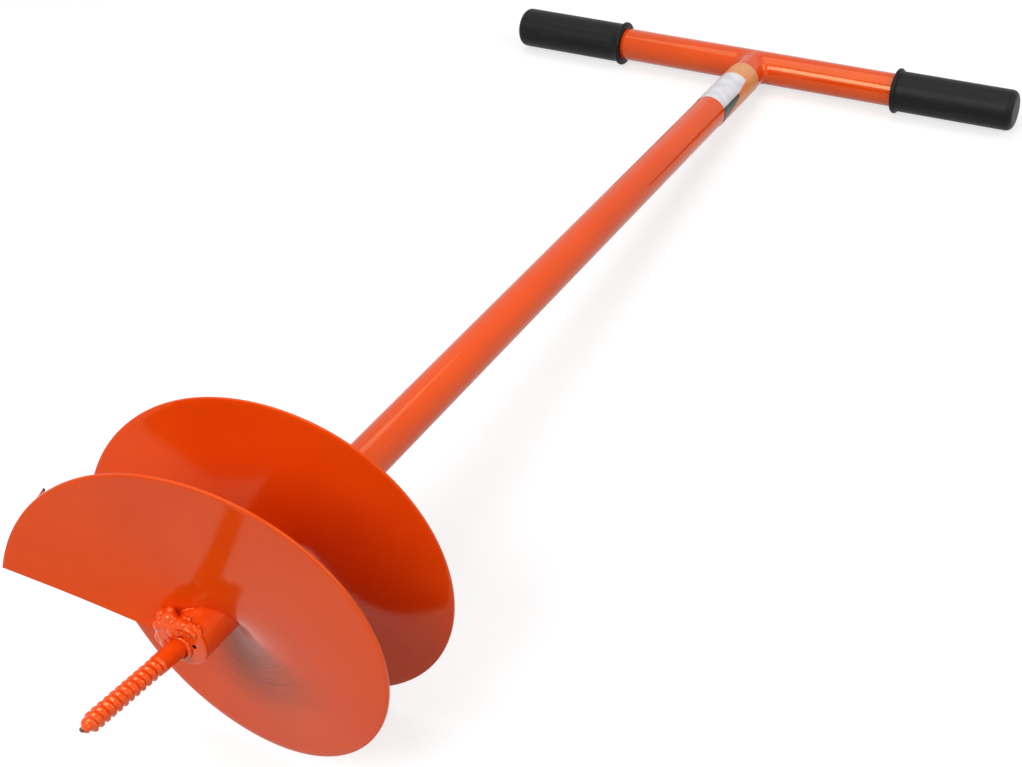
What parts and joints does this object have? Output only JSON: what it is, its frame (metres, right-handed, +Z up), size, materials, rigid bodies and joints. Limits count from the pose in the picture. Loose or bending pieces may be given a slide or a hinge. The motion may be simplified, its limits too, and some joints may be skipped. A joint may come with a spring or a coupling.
{
  "type": "hand earth auger",
  "caption": "Hand earth auger with a T handle, soft grips, a round shaft, a stretched sheet-steel helical flight and a coach screw as pilot point.",
  "frame": {"origin": "on the ground, below the middle of the lying tool's bounding box", "axes": "+Z up from the ground, +Y along the lying shaft towards the handle, +X along the crossbar towards the right grip"},
  "size_m": [0.4076, 0.8302, 0.2109],
  "materials": {
    "orange_paint": "glossy orange powder coat",
    "black_pvc": "satin soft PVC",
    "label_vinyl": "blank white vinyl with a soft gloss"
  },
  "bodies": {
    "root": {"shaft_tube": "orange_paint", "crossbar_tube": "orange_paint", "handle_weld": "orange_paint", "grip_left": "black_pvc", "grip_right": "black_pvc", "label": "label_vinyl", "lower_flight": "orange_paint", "upper_flight": "orange_paint", "flight_seam_weld": "orange_paint", "lower_flight_weld_1": "orange_paint", "lower_flight_weld_2": "orange_paint", "lower_flight_weld_3": "orange_paint", "lower_flight_weld_4": "orange_paint", "upper_flight_weld_1": "orange_paint", "upper_flight_weld_2": "orange_paint", "upper_flight_weld_3": "orange_paint", "upper_flight_weld_4": "orange_paint", "side_cutter": "orange_paint", "side_cutter_weld": "orange_paint", "end_cap": "orange_paint", "pilot_screw": "orange_paint", "pilot_weld": "orange_paint", "nose_weld": "orange_paint"}
  },
  "joints": []
}
